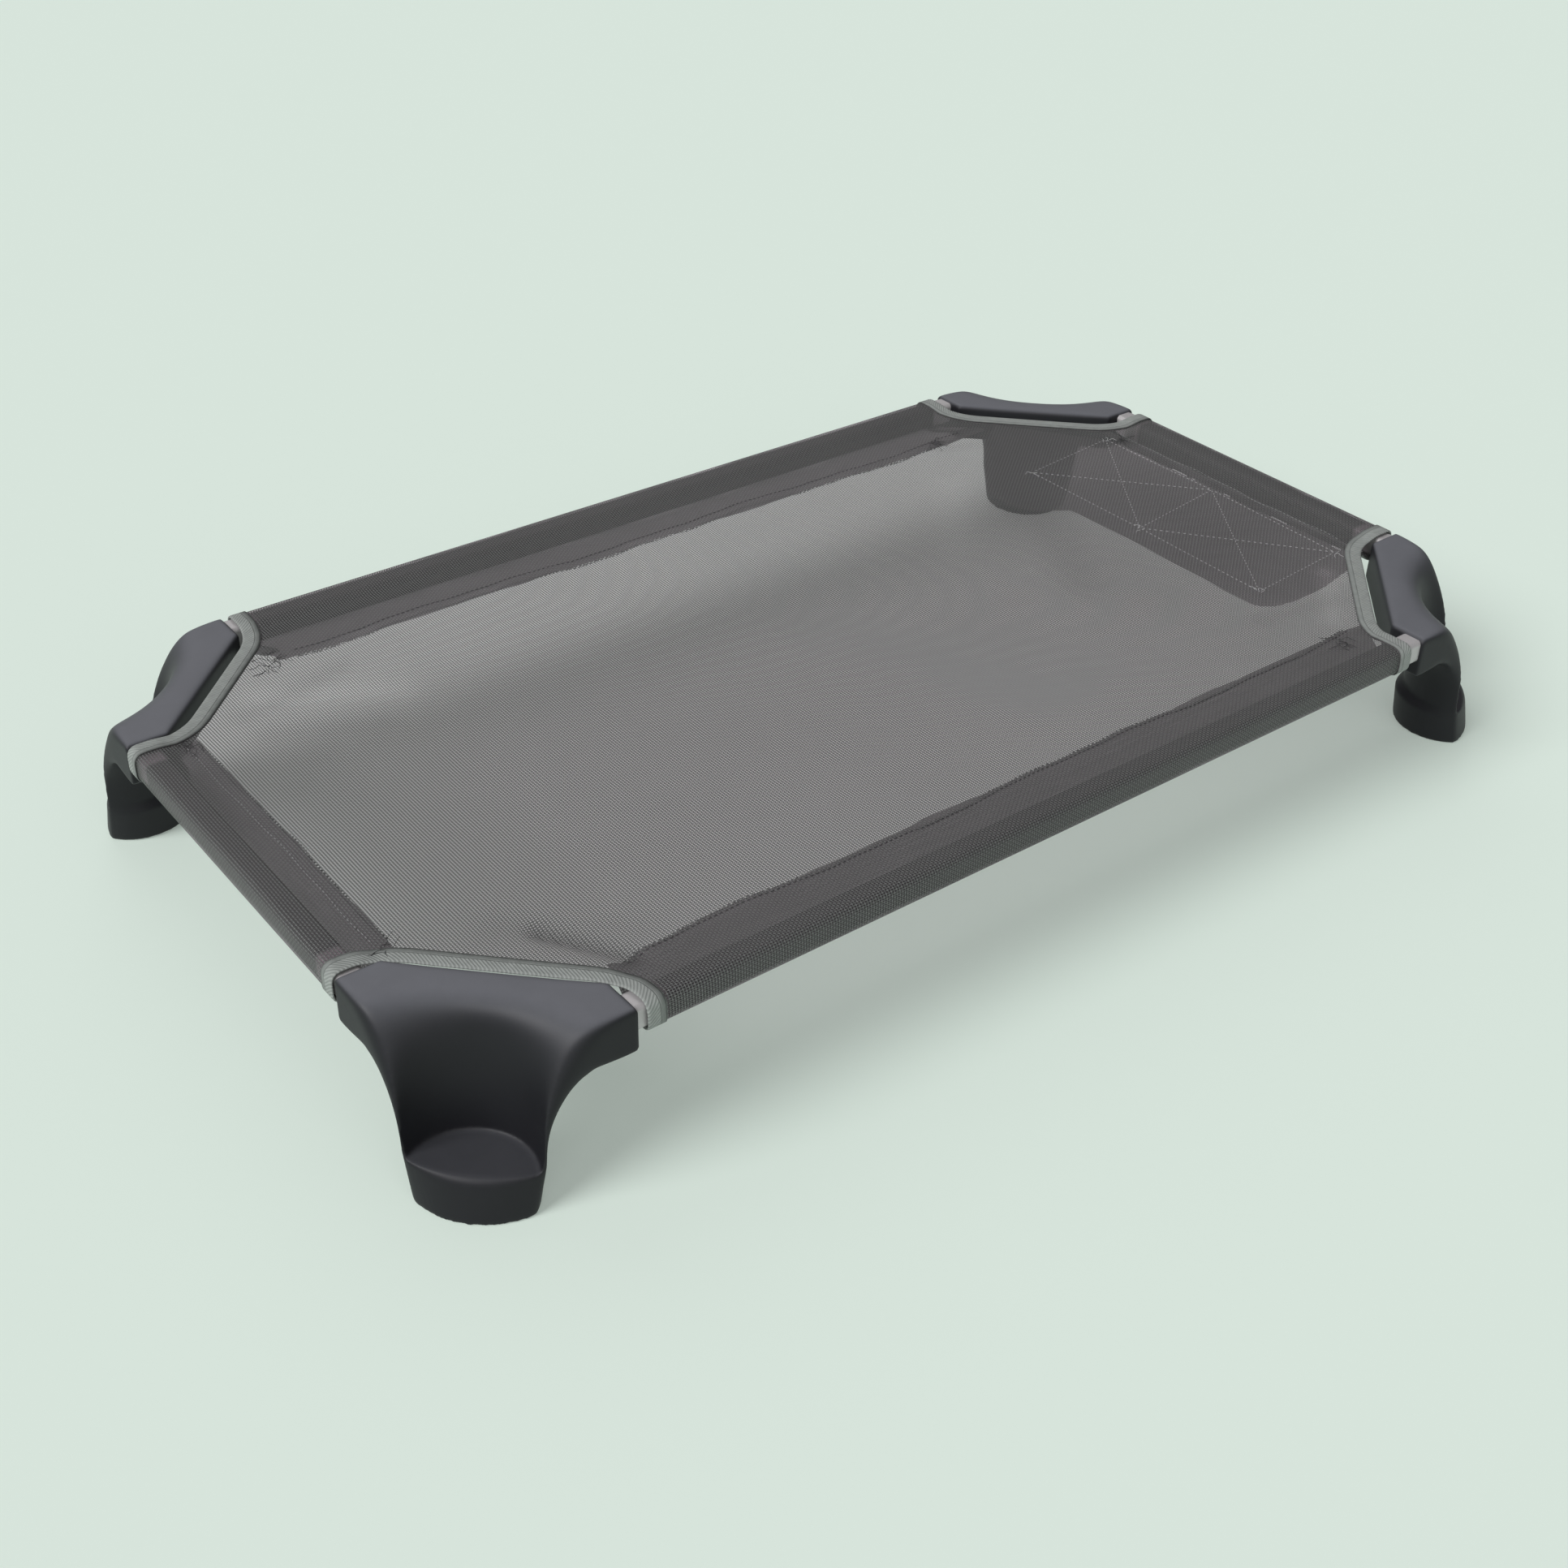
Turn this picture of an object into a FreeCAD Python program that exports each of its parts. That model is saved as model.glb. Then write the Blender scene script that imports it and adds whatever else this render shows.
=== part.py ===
import FreeCAD, Part
import Sketcher
import os

# Stackable raised dog bed: four moulded corner legs, four square tubes and a stretched mesh sheet.
# Row frame: origin under the middle of the bed on the floor, X along the long side, Z up.
# A leg is drawn once in its own corner frame: X and Y run in from the corner along the two rails.

SIZES = {
    # whole bed
    "bed_length": 1016,
    "bed_width": 584,
    "bed_height": 127,
    # leg: the two arms that hold the rails
    "arm_reach": 134,
    "arm_width": 32,
    "arm_depth": 34,
    "arm_round": 3.5,
    "arm_toe_round": 2.5,
    "leg_wall": 4,
    "rib_wall": 3,
    # leg: the scoop, a hollow that runs down the outer corner to the stacking ledge
    "scoop_foot_reach": 64,
    "scoop_foot_level": 50,
    "scoop_depth": 54.2,
    "scoop_lean": 2.5,
    "scoop_roll": 8,
    "scoop_lip": 1,
    # leg: the arch under each arm
    "arch_step": 3,
    "arch_foot_reach": 65,
    "arch_level": 42,
    "arch_lip": 2,
    "column_wall": 6,
    # leg: stacking ledge and foot
    "ledge_level": 32,
    "ledge_reach": 60,
    "ledge_draft": 0.8,
    "ledge_front": 21.5,
    "ledge_round": 3.5,
    "ledge_tip": 0.6,
    "shoulder_level": 35,
    "shoulder_drop": 7,
    "shoulder_in": 0.6,
    "neck_in": 2.5,
    "neck_out": 2,
    "foot_reach": 55,
    "foot_step": 1.6,
    "foot_front_reach": 51,
    "foot_front": 17,
    "foot_hollow_tip": 47,
    "foot_hollow_side": 8,
    # rails
    "tube_side": 19,
    "tube_wall": 1.2,
    "tube_round": 4,
    "tube_inset": 2,
    "tube_grip": 20,
    "tube_play": 0.12,
    "spigot_reach": 40,
    "spigot_play": 0.2,
    # mesh sheet, and how far its double hem reaches in from each side
    "mesh_thick": 0.8,
    "mesh_gap": 0.3,
    "front_hem": 48,
    "back_hem": 76,
    "end_hem": 45,
    # binding tape along the cut corners
    "bare_rail": 8,
    "tape_wide": 12,
    "tape_thick": 1.4,
    "tape_gap": 7,
    "tape_band": 14,
    # reinforcing panel under the right end, and the lobe on its inner edge
    "panel_reach": 191,
    "panel_near": 109,
    "panel_corner": 30,
    "lobe_reach": 230,
    "lobe_near": 338,
    "lobe_middle": 375,
    "lobe_far": 405,
    "lobe_shoulder": 163,
    # seams
    "box_inset": 68,
    "box_long": 104,
    "box_near": 139,
    "box_far": 171,
    "hem_margin": 11,
    "thread_wide": 0.9,
    "thread_thick": 0.4,
}

doc = FreeCAD.newDocument("dog_bed")
sheet = doc.addObject("Spreadsheet::Sheet", "Sizes")
for row, (alias, number) in enumerate(SIZES.items(), start=1):
    sheet.set(f"A{row}", alias)
    sheet.set(f"B{row}", str(number))
    sheet.setAlias(f"B{row}", alias)
doc.recompute()

# Expressions that more than one piece shares.
TOP = "Sizes.bed_height"
HALF_LENGTH = "(Sizes.bed_length / 2)"
HALF_WIDTH = "(Sizes.bed_width / 2)"
ARM_UNDER = "(Sizes.bed_height - Sizes.arm_depth)"
TUBE_MIDDLE = "(Sizes.tube_inset + Sizes.tube_side / 2)"
TUBE_LEVEL = "(Sizes.bed_height - Sizes.tube_inset - Sizes.tube_side / 2)"
TUBE_START = "(Sizes.arm_reach - Sizes.tube_grip)"
MESH_TOP = "(Sizes.bed_height - Sizes.tube_inset + Sizes.mesh_gap + Sizes.mesh_thick)"
TAPE_START = "(Sizes.arm_reach + Sizes.bare_rail)"
SLEEVE_START = "(Sizes.arm_reach + Sizes.bare_rail + Sizes.tape_wide + Sizes.mesh_gap)"
SLEEVE_INNER = "(Sizes.tube_inset + Sizes.tube_side + Sizes.mesh_gap + Sizes.mesh_thick)"
TAPE_EDGE = "(Sizes.arm_reach + Sizes.arm_width + Sizes.tape_gap * sqrt(2))"
TAPE_CUT = f"({TAPE_EDGE} + Sizes.tape_band * sqrt(2))"
CUT = f"({TAPE_CUT} + Sizes.mesh_gap)"
ARCH_END = f"({TUBE_START} + Sizes.arch_step)"
WALL_DEPTH = "(Sizes.scoop_depth + Sizes.column_wall * sqrt(0.5))"
FOOT_BACK = f"({WALL_DEPTH} + Sizes.foot_step)"

# Levels of the lofted curves, as the angle along each quarter ellipse.
SCOOP_ANGLES = (0, 15, 30, 45, 60, 72, 82, 90)
ARCH_ANGLES = (0, 20, 40, 60, 75, 90)
LIP_ANGLES = (0, 30, 60, 90)
NEAR = 0.1

nodes = []


def value(expression):
    """The number that an expression on the sheet comes to."""
    result = sheet.evalExpression(expression)
    return float(getattr(result, "Value", result))


def node(feature, label):
    """Name a finished piece and keep it for export."""
    feature.Label = label
    nodes.append(feature)
    return feature


def place(feature, x, y, turn=0):
    """Put a finished piece at (x, y), turned about Z."""
    feature.Placement = FreeCAD.Placement(FreeCAD.Vector(), FreeCAD.Rotation(FreeCAD.Vector(0, 0, 1), turn))
    feature.setExpression("Placement.Base.x", x)
    feature.setExpression("Placement.Base.y", y)


def new_body(name):
    return doc.addObject("PartDesign::Body", name)


def sketch_on(body, name, role, level):
    """A sketch parallel to one of the body's own origin planes, moved along its normal."""
    sketch = body.newObject("Sketcher::SketchObject", name)
    plane = next(feature for feature in body.Origin.OriginFeatures if feature.Role == role)
    sketch.AttachmentSupport = [(plane, "")]
    sketch.MapMode = "FlatFace"
    sketch.setExpression("AttachmentOffset.Base.z", level)
    return sketch


def pin(sketch, item, end, x, y):
    """Tie one point of a sketch to a place given by two expressions."""
    for kind, text in (("DistanceX", x), ("DistanceY", y)):
        number = sketch.addConstraint(Sketcher.Constraint(kind, -1, 1, item, end, value(text)))
        sketch.setExpression(f"Constraints[{number}]", text)


def outline(sketch, corners, arcs=None):
    """A closed outline: corners as pairs of expressions, and the point each rounded side passes."""
    arcs = arcs or {}
    points = [FreeCAD.Vector(value(x), value(y), 0) for x, y in corners]
    for index, start in enumerate(points):
        end = points[(index + 1) % len(points)]
        if index not in arcs:
            side = sketch.addGeometry(Part.LineSegment(start, end), False)
            first, last = 1, 2
        else:
            x, y = arcs[index]
            middle = FreeCAD.Vector(value(x), value(y), 0)
            arc = Part.Arc(start, middle, end)
            side = sketch.addGeometry(arc, False)
            to_first, to_last = (sketch.getPoint(side, tip).distanceToPoint(start) for tip in (1, 2))
            first, last = (1, 2) if to_first < to_last else (2, 1)
            through = sketch.addGeometry(Part.Point(middle), True)
            pin(sketch, through, 1, x, y)
            sketch.addConstraint(Sketcher.Constraint("PointOnObject", through, 1, side))
        pin(sketch, side, first, *corners[index])
        pin(sketch, side, last, *corners[(index + 1) % len(points)])


def rounded_square(sketch, x, y, side, radius):
    """A square outline with round corners about (x, y)."""
    half = f"({side}) / 2"
    flat = f"(({half}) - ({radius}))"
    bulge = f"(({half}) - ({radius}) * (1 - sqrt(0.5)))"
    corners = []
    arcs = {}
    for along_x, along_y in ((1, 1), (-1, 1), (-1, -1), (1, -1)):
        across = (f"{x} + {along_x} * {half}", f"{y} + {along_y} * {flat}")
        along = (f"{x} + {along_x} * {flat}", f"{y} + {along_y} * {half}")
        arcs[len(corners)] = (f"{x} + {along_x} * {bulge}", f"{y} + {along_y} * {bulge}")
        corners += [across, along] if along_x * along_y > 0 else [along, across]
    outline(sketch, corners, arcs)


def pad(body, name, sketch, length, midplane=False):
    feature = body.newObject("PartDesign::Pad", name)
    feature.Profile = sketch
    feature.setExpression("Length", length)
    feature.Midplane = midplane
    return feature


def pocket(body, name, sketch, depth, reverse=False):
    """Cut a sketch into the body, and make sure that it cut something."""
    doc.recompute()
    before = body.Shape.Volume
    feature = body.newObject("PartDesign::Pocket", name)
    feature.Profile = sketch
    feature.setExpression("Length", depth)
    feature.Reversed = reverse
    doc.recompute()
    if body.Shape.Volume >= before:
        raise RuntimeError(f"{name} cuts nothing")
    return feature


def loft(body, name, kind, sections):
    feature = body.newObject(f"PartDesign::{kind}", name)
    feature.Profile = sections[0]
    feature.Sections = sections[1:]
    return feature


def round_edges(body, name, radius, wanted):
    """Fillet the edges whose middle point and direction pass a test."""
    doc.recompute()
    base = body.Tip
    names = []
    for number, edge in enumerate(base.Shape.Edges, start=1):
        middle = edge.valueAt((edge.FirstParameter + edge.LastParameter) / 2)
        if wanted(edge, middle):
            names.append(f"Edge{number}")
    feature = body.newObject("PartDesign::Fillet", name)
    feature.Base = (base, names)
    feature.setExpression("Radius", radius)
    return feature


def corner_section(body, name, level, reach, depth, margin="0"):
    """The leg's corner cut level: two sides along the flanks and an arc that crosses the diagonal."""
    sketch = sketch_on(body, name, "XY_Plane", level)
    if value(margin) > 0:
        corners = [(f"-{margin}", f"-{margin}"), (reach, f"-{margin}"), (reach, "0"),
                   ("0", reach), (f"-{margin}", reach)]
        outline(sketch, corners, {2: (depth, depth)})
    else:
        outline(sketch, [("0", "0"), (reach, "0"), ("0", reach)], {1: (depth, depth)})
    return sketch


def scoop_section(body, name, angle):
    """One level of the scoop: an ellipse in the flanks' view, and a softer roll over on the diagonal."""
    level = (f"Sizes.scoop_foot_level + (Sizes.bed_height + Sizes.scoop_lip - Sizes.scoop_foot_level)"
             f" * sin({angle} deg)")
    reach = f"{TUBE_START} - ({TUBE_START} - Sizes.scoop_foot_reach) * cos({angle} deg)"
    depth = (f"Sizes.scoop_depth + Sizes.scoop_lean * sin({angle} deg)"
             f" + Sizes.scoop_roll * (1 - cos({angle} deg)) ^ 2")
    return corner_section(body, name, level, reach, depth, margin="Sizes.leg_wall")


def wall_section(body, name, angle):
    """One level of the wall behind the scoop, whose ends draw the arch under the arms."""
    level = (f"Sizes.arch_level + (Sizes.bed_height - Sizes.arm_depth + Sizes.arch_lip"
             f" - Sizes.arch_level) * sin({angle} deg)")
    reach = f"{ARCH_END} - ({ARCH_END} - Sizes.arch_foot_reach) * cos({angle} deg)"
    depth = f"{WALL_DEPTH} + 2 * Sizes.scoop_lean * sin({angle} deg)"
    return corner_section(body, name, level, reach, depth)


def leg_block(body):
    """The two arms and the flat top between them."""
    plan = sketch_on(body, body.Name + "_plan", "XY_Plane", ARM_UNDER)
    reach, width = "Sizes.arm_reach", "Sizes.arm_width"
    outline(plan, [("0", "0"), (reach, "0"), (reach, width), (width, reach), ("0", reach)])
    pad(body, body.Name + "_block", plan, "Sizes.arm_depth")
    top = value(TOP)
    under = value(ARM_UNDER)
    end = value("Sizes.arm_reach")

    def upper(edge, middle):
        return middle.z > top - NEAR

    def toe(edge, middle):
        at_end = max(middle.x, middle.y) > end - NEAR
        return middle.z < under + NEAR and at_end

    round_edges(body, body.Name + "_top_round", "Sizes.arm_round", upper)
    round_edges(body, body.Name + "_toe_round", "Sizes.arm_toe_round", toe)


def leg_column(body):
    """The curved wall down from the arms and the thicker foot below it."""
    name = body.Name
    shoulder_reach = "Sizes.arch_foot_reach - Sizes.shoulder_in"
    shoulder_depth = f"{WALL_DEPTH} - Sizes.shoulder_in"
    neck_reach = "Sizes.arch_foot_reach - Sizes.neck_in"
    neck_depth = f"{FOOT_BACK} + Sizes.neck_out"
    neck_level = "Sizes.shoulder_level - Sizes.shoulder_drop"
    wall = [corner_section(body, name + "_wall_foot", "Sizes.shoulder_level", shoulder_reach, shoulder_depth)]
    wall += [wall_section(body, f"{name}_wall_{angle}", angle) for angle in ARCH_ANGLES]
    loft(body, name + "_wall", "AdditiveLoft", wall)
    foot = [
        corner_section(body, name + "_foot_base", "0", "Sizes.foot_reach", FOOT_BACK),
        corner_section(body, name + "_foot_neck", neck_level, neck_reach, neck_depth),
        corner_section(body, name + "_foot_top", "Sizes.shoulder_level", shoulder_reach, shoulder_depth),
    ]
    lower = loft(body, name + "_foot", "AdditiveLoft", foot)
    lower.Ruled = True


def leg_scoop(body):
    """The scoop above the stacking ledge, and the foot's rounded front below it."""
    name = body.Name
    ledge_back = "Sizes.scoop_depth - Sizes.ledge_draft"
    scoop = [corner_section(body, name + "_scoop_ledge", "Sizes.ledge_level", "Sizes.ledge_reach",
                            ledge_back, margin="Sizes.leg_wall")]
    scoop += [scoop_section(body, f"{name}_scoop_{angle}", angle) for angle in SCOOP_ANGLES]
    loft(body, name + "_scoop", "SubtractiveLoft", scoop)
    lip = "Sizes.ledge_round"
    lip_reach = "Sizes.ledge_reach - Sizes.ledge_tip"
    front = [corner_section(body, name + "_front_base", "-Sizes.scoop_lip", "Sizes.foot_front_reach",
                            "Sizes.foot_front", margin="Sizes.leg_wall")]
    for angle in LIP_ANGLES:
        level = f"Sizes.ledge_level - {lip} * (1 - sin({angle} deg))"
        depth = f"Sizes.ledge_front + {lip} * sqrt(0.5) * (1 - cos({angle} deg))"
        front.append(corner_section(body, f"{name}_front_{angle}", level, lip_reach, depth,
                                    margin="Sizes.leg_wall"))
    lower = loft(body, name + "_front", "SubtractiveLoft", front)
    lower.Ruled = True


def leg_sockets(body):
    """A blind square socket in each arm's end, with a spigot that the tube slides over."""
    name = body.Name
    hole = "Sizes.tube_side + 2 * Sizes.tube_play"
    tongue = "Sizes.tube_side - 2 * Sizes.tube_wall - 2 * Sizes.spigot_play"
    tongue_round = "(Sizes.tube_round - Sizes.tube_wall)"
    for arm, role, side, outward in (("x", "YZ_Plane", "", True), ("y", "XZ_Plane", "-", False)):
        mouth = sketch_on(body, f"{name}_socket_{arm}", role, f"{side}Sizes.arm_reach")
        rounded_square(mouth, TUBE_MIDDLE, TUBE_LEVEL, hole, "Sizes.tube_round")
        pocket(body, f"{name}_socket_cut_{arm}", mouth, "Sizes.tube_grip", reverse=not outward)
        root = sketch_on(body, f"{name}_spigot_{arm}", role, f"{side}{TUBE_START}")
        rounded_square(root, TUBE_MIDDLE, TUBE_LEVEL, tongue, tongue_round)
        spigot = pad(body, f"{name}_spigot_pad_{arm}", root, "Sizes.tube_grip + Sizes.spigot_reach")
        spigot.Reversed = not outward


def leg_hollows(body):
    """Cored-out recesses under the foot and under the flat top, as a moulding has them."""
    name = body.Name
    base = sketch_on(body, name + "_foot_hollow", "XY_Plane", "0")
    tip, side = "Sizes.foot_hollow_tip", "Sizes.foot_hollow_side"
    front = "Sizes.ledge_front + Sizes.leg_wall * sqrt(0.5)"
    back = f"{FOOT_BACK} - Sizes.leg_wall * sqrt(0.5)"
    outline(base, [(tip, side), (side, tip)], {0: (front, front), 1: (back, back)})
    pocket(body, name + "_foot_core", base, "Sizes.ledge_level - Sizes.leg_wall", reverse=True)

    under = sketch_on(body, name + "_top_hollow", "XY_Plane", ARM_UNDER)
    near = "Sizes.tube_inset + Sizes.tube_side + 2 * Sizes.leg_wall"
    outer = f"2 * ({WALL_DEPTH} + 2 * Sizes.scoop_lean + Sizes.scoop_roll)"
    inner = "Sizes.arm_reach + Sizes.arm_width - Sizes.leg_wall * sqrt(2)"
    rib = "Sizes.rib_wall * sqrt(0.5)"
    far_out, far_in = f"({outer}) - ({near})", f"({inner}) - ({near})"
    outline(under, [(near, far_out), (f"({outer}) / 2 - {rib}", f"({outer}) / 2 + {rib}"),
                    (f"({inner}) / 2 - {rib}", f"({inner}) / 2 + {rib}"), (near, far_in)])
    outline(under, [(far_out, near), (far_in, near),
                    (f"({inner}) / 2 + {rib}", f"({inner}) / 2 - {rib}"),
                    (f"({outer}) / 2 + {rib}", f"({outer}) / 2 - {rib}")])
    pocket(body, name + "_top_core", under, "Sizes.arm_depth - Sizes.leg_wall", reverse=True)


def corner_leg(label, x, y, turn):
    body = new_body(label)
    leg_block(body)
    leg_column(body)
    leg_scoop(body)
    leg_sockets(body)
    leg_hollows(body)
    place(body, x, y, turn)
    return node(body, label)


def rail(label, span, x, y, turn):
    """A square tube along the local X axis, Y pointing into the bed."""
    body = new_body(label)
    section = sketch_on(body, label + "_section", "YZ_Plane", "0")
    rounded_square(section, TUBE_MIDDLE, TUBE_LEVEL, "Sizes.tube_side", "Sizes.tube_round")
    rounded_square(section, TUBE_MIDDLE, TUBE_LEVEL, "Sizes.tube_side - 2 * Sizes.tube_wall",
                   "(Sizes.tube_round - Sizes.tube_wall)")
    pad(body, label + "_tube", section, f"{span} - 2 * {TUBE_START} - 4 * Sizes.tube_play", midplane=True)
    place(body, x, y, turn)
    return node(body, label)


def mirrored_outline(sketch, half):
    """An outline from its right half, listed from the inside out, and the same mirrored in X."""
    corners = [(x, y) for x, y in half] + [(f"-({x})", y) for x, y in reversed(half)]
    outline(sketch, corners)


def sleeve(label, span, hem, x, y, turn):
    """The sheet's edge: once round the rail, and a double layer in to the hem."""
    body = new_body(label)
    ring = sketch_on(body, label + "_ring", "YZ_Plane", "0")
    room = "Sizes.tube_side + 2 * Sizes.mesh_gap"
    room_round = "(Sizes.tube_round + Sizes.mesh_gap)"
    rounded_square(ring, TUBE_MIDDLE, TUBE_LEVEL, f"{room} + 2 * Sizes.mesh_thick",
                   "(Sizes.tube_round + Sizes.mesh_gap + Sizes.mesh_thick)")
    rounded_square(ring, TUBE_MIDDLE, TUBE_LEVEL, room, room_round)
    pad(body, label + "_wrap", ring, f"{span} - 2 * {SLEEVE_START}", midplane=True)
    corner = f"({CUT} - {SLEEVE_START})"
    end = f"{span} / 2 - {SLEEVE_START}"
    hem_end = f"{span} / 2 - ({CUT} - {hem})"
    for name, near, layers in (("_lap", TUBE_MIDDLE, 1), ("_flap", SLEEVE_INNER, 2)):
        flat = sketch_on(body, label + name, "XY_Plane", f"{MESH_TOP} - {layers} * Sizes.mesh_thick")
        mirrored_outline(flat, [(end, near), (end, corner), (hem_end, hem)])
        pad(body, label + name + "_pad", flat, f"{layers} * Sizes.mesh_thick")
    place(body, x, y, turn)
    return node(body, label)


def mesh_deck():
    """The single layer between the four hems, with its corners cut off along the binding."""
    body = new_body("mesh_deck")
    plan = sketch_on(body, "deck_plan", "XY_Plane", f"{MESH_TOP} - Sizes.mesh_thick")
    corners = []
    for side_x, side_y, hem in ((1, -1, "Sizes.front_hem"), (1, 1, "Sizes.back_hem"),
                                (-1, 1, "Sizes.back_hem"), (-1, -1, "Sizes.front_hem")):
        deep = f"({hem} + Sizes.mesh_gap)"
        wide = "(Sizes.end_hem + Sizes.mesh_gap)"
        along = (f"{side_x} * ({HALF_LENGTH} - ({CUT} - {deep}))", f"{side_y} * ({HALF_WIDTH} - {deep})")
        across = (f"{side_x} * ({HALF_LENGTH} - {wide})", f"{side_y} * ({HALF_WIDTH} - ({CUT} - {wide}))")
        corners += [along, across] if side_x * side_y < 0 else [across, along]
    outline(plan, corners)
    pad(body, "deck_pad", plan, "Sizes.mesh_thick")
    return node(body, "mesh_deck")


def corner_binding(label, x, y, turn):
    """Tape folded over a cut corner, with a turn round the end of each sleeve."""
    body = new_body(label)
    room = "Sizes.tube_side + 2 * Sizes.mesh_gap"
    for arm, role, sign in (("x", "YZ_Plane", ""), ("y", "XZ_Plane", "-")):
        ring = sketch_on(body, f"{label}_ring_{arm}", role, f"{sign}{TAPE_START}")
        rounded_square(ring, TUBE_MIDDLE, TUBE_LEVEL, f"{room} + 2 * Sizes.tape_thick",
                       "(Sizes.tube_round + Sizes.mesh_gap + Sizes.tape_thick)")
        rounded_square(ring, TUBE_MIDDLE, TUBE_LEVEL, room, "(Sizes.tube_round + Sizes.mesh_gap)")
        if arm == "x":
            pad(body, f"{label}_turn_{arm}", ring, "Sizes.tape_wide")
            strip = sketch_on(body, label + "_strip", "XY_Plane", f"{MESH_TOP} - Sizes.mesh_thick")
            start, stop = TAPE_START, f"({TAPE_START} + Sizes.tape_wide)"
            outer, inner = f"{TAPE_EDGE} - {start}", f"{TAPE_CUT} - {stop}"
            outline(strip, [(start, TUBE_MIDDLE), (stop, TUBE_MIDDLE), (stop, inner), (inner, stop),
                            (TUBE_MIDDLE, stop), (TUBE_MIDDLE, start), (outer, start), (start, outer)])
            pad(body, label + "_edge", strip, "Sizes.tape_thick")
        else:
            turn_y = pad(body, f"{label}_turn_{arm}", ring, "Sizes.tape_wide")
            turn_y.Reversed = True
    place(body, x, y, turn)
    return node(body, label)


def reinforcing_panel():
    """A second layer under the sheet's right end, with a lobe on its inner edge."""
    body = new_body("reinforcing_panel")
    level = f"{MESH_TOP} - 2 * Sizes.mesh_thick - Sizes.mesh_gap"
    plan = sketch_on(body, "panel_plan", "XY_Plane", level)
    right, back = HALF_LENGTH, HALF_WIDTH
    front = f"-{HALF_WIDTH}"
    end = f"{right} - Sizes.end_hem - Sizes.mesh_gap"
    side = f"({CUT} - Sizes.end_hem - Sizes.mesh_gap)"
    rear = "(Sizes.back_hem + Sizes.mesh_gap)"
    inner = f"{right} - Sizes.panel_reach"
    outline(plan, [
        (inner, f"{front} + Sizes.lobe_near"),
        (inner, f"{front} + Sizes.panel_near + Sizes.panel_corner"),
        (f"{inner} + Sizes.panel_corner", f"{front} + Sizes.panel_near"),
        (f"{right} - ({CUT} - Sizes.panel_near)", f"{front} + Sizes.panel_near"),
        (end, f"{front} + {side}"),
        (end, f"{back} - {side}"),
        (f"{right} - ({CUT} - {rear})", f"{back} - {rear}"),
        (f"{right} - Sizes.lobe_shoulder", f"{back} - {rear}"),
        (f"{right} - Sizes.lobe_reach", f"{front} + Sizes.lobe_far"),
        (f"{right} - Sizes.lobe_reach", f"{front} + Sizes.lobe_middle"),
    ])
    pad(body, "panel_pad", plan, "Sizes.mesh_thick")
    return node(body, "reinforcing_panel")


def hem_seam(label, span, hem, x, y, turn):
    """The row of stitches that holds a sleeve's hem down."""
    body = new_body(label)
    plan = sketch_on(body, label + "_plan", "XY_Plane", MESH_TOP)
    line = f"({hem} - Sizes.hem_margin)"
    end = f"{span} / 2 - {SLEEVE_START} - Sizes.mesh_gap"
    half = "Sizes.thread_wide / 2"
    mirrored_outline(plan, [(end, f"{line} - {half}"), (end, f"{line} + {half}")])
    pad(body, label + "_stitches", plan, "Sizes.thread_thick")
    place(body, x, y, turn)
    return node(body, label)


def panel_seam():
    """Two boxes side by side, each sewn across from corner to corner: a flat plate with eight windows."""
    body = new_body("panel_seam")
    plan = sketch_on(body, "seam_plan", "XY_Plane", MESH_TOP)
    long, half = "Sizes.box_long", "(Sizes.thread_wide / 2)"
    wide = "((Sizes.bed_width - Sizes.box_near - Sizes.box_far) / 2)"
    across = f"sqrt({long} ^ 2 + {wide} ^ 2)"
    right = f"({HALF_LENGTH} - Sizes.box_inset)"
    left = f"({right} - {long})"
    middle = f"(({left} + {right}) / 2)"
    rows = [f"(Sizes.box_near - {HALF_WIDTH} + {number} * {wide})" for number in range(3)]
    outline(plan, [(f"{left} - {half}", f"{rows[0]} - {half}"), (f"{right} + {half}", f"{rows[0]} - {half}"),
                   (f"{right} + {half}", f"{rows[2]} + {half}"), (f"{left} - {half}", f"{rows[2]} + {half}")])
    in_x, in_y = f"{half} * ({long} + {across}) / {wide}", f"{half} * ({wide} + {across}) / {long}"
    apex_x, apex_y = f"{half} * {across} / {wide}", f"{half} * {across} / {long}"
    for low, high in zip(rows, rows[1:]):
        centre = f"(({low} + {high}) / 2)"
        outline(plan, [(f"{left} + {in_x}", f"{low} + {half}"), (f"{right} - {in_x}", f"{low} + {half}"),
                       (middle, f"{centre} - {apex_y}")])
        outline(plan, [(f"{left} + {in_x}", f"{high} - {half}"), (f"{right} - {in_x}", f"{high} - {half}"),
                       (middle, f"{centre} + {apex_y}")])
        outline(plan, [(f"{left} + {half}", f"{low} + {in_y}"), (f"{left} + {half}", f"{high} - {in_y}"),
                       (f"{middle} - {apex_x}", centre)])
        outline(plan, [(f"{right} - {half}", f"{low} + {in_y}"), (f"{right} - {half}", f"{high} - {in_y}"),
                       (f"{middle} + {apex_x}", centre)])
    pad(body, "seam_stitches", plan, "Sizes.thread_thick")
    return node(body, "panel_seam")


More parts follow.
